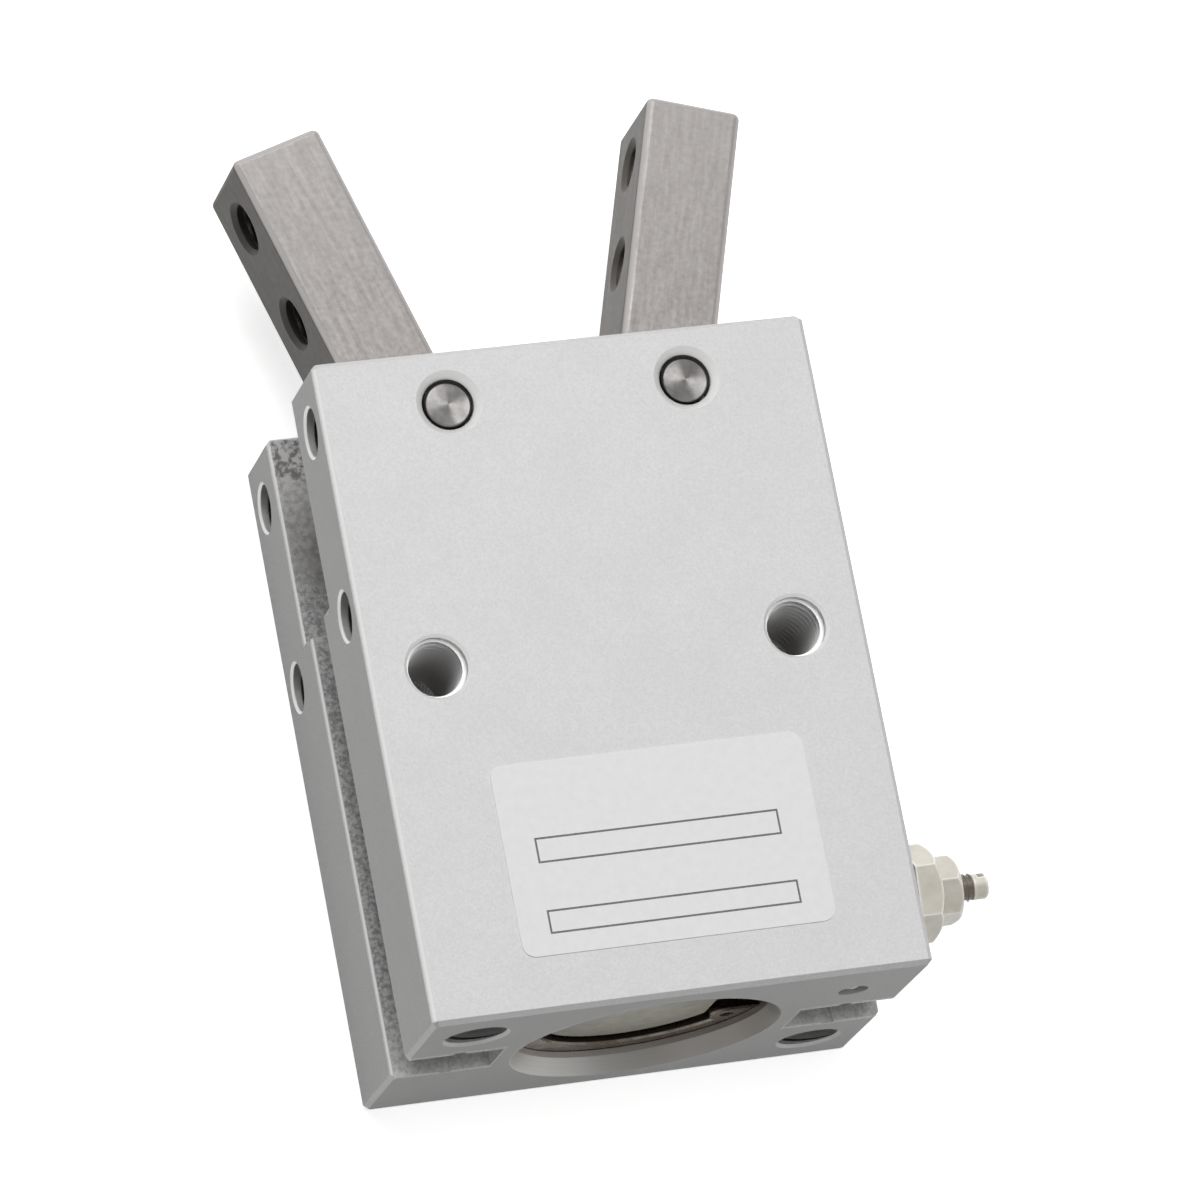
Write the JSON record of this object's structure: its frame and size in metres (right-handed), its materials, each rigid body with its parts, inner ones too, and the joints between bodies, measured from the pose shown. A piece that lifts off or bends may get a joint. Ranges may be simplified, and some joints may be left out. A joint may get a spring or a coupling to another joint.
{
  "type": "pneumatic angular gripper",
  "caption": "Flat anodised block with a piston inside that swings a pair of drilled steel fingers open and shut on cross pins, with a needle valve on one side.",
  "frame": {"origin": "middle of the tail mounting face, on the piston's axis", "axes": "+X the opening direction towards the needle valve's side, +Y along the piston's axis from the tail to the fingertips, +Z out of the front face; the part lies on its back"},
  "size_m": [0.0497, 0.0782, 0.027],
  "materials": {
    "anodised_body": "bead-blasted, clear hard anodised",
    "finger_steel": "ground stainless steel",
    "pin_steel": "turned, hardened steel",
    "plated_cap": "chromated, pale olive",
    "spring_steel": "oiled spring steel",
    "rod_steel": "ground and chromed",
    "turned_aluminium": "turned",
    "black_steel": "black oxide",
    "bronze": "sintered bronze",
    "plated_brass": "nickel plated",
    "magnet": "bonded ferrite",
    "seal_rubber": "moulded nitrile rubber"
  },
  "bodies": {
    "housing": {"body": "anodised_body", "end_cap": "plated_cap", "cap_o_ring": "seal_rubber", "retaining_ring": "spring_steel", "rear_bumper": "seal_rubber", "rod_bush": "bronze", "rod_seal": "seal_rubber", "left_pivot_pin": "pin_steel", "right_pivot_pin": "pin_steel", "valve_gasket": "plated_brass", "valve_body": "plated_brass", "lock_nut": "plated_brass", "passage_plug": "pin_steel"},
    "piston_group": {"piston": "turned_aluminium", "piston_seal": "seal_rubber", "magnet_ring": "magnet", "front_bumper": "seal_rubber", "piston_screw": "black_steel", "piston_rod": "rod_steel", "center_pin": "pin_steel"},
    "left_lever": {"left_finger": "finger_steel"},
    "right_lever": {"right_finger": "finger_steel"},
    "needle_group": {"needle": "plated_brass", "needle_o_ring": "seal_rubber"}
  },
  "joints": [
    {"name": "piston_slide", "type": "slide", "parent": "housing", "child": "piston_group", "axis": [0, -1, 0], "range_m": [0, 0.00389]},
    {"name": "left_finger_pivot", "type": "hinge", "parent": "housing", "child": "left_lever", "pos_m": [-0.01, 0.0508, 0], "axis": [0, 0, -1], "range_deg": [0, 22]},
    {"name": "right_finger_pivot", "type": "hinge", "parent": "housing", "child": "right_lever", "pos_m": [0.01, 0.0508, 0], "axis": [0, 0, 1], "range_deg": [0, 22]},
    {"name": "needle_turn", "type": "hinge", "parent": "housing", "child": "needle_group", "pos_m": [0.02075, 0.007, 0.0083], "axis": [1, 0, 0], "range_deg": [-720, 720]}
  ],
  "couplings": [
    {"joint": "left_finger_pivot", "follows": "piston_slide", "rad_per_m": 98.765},
    {"joint": "right_finger_pivot", "follows": "piston_slide", "rad_per_m": 98.765}
  ]
}
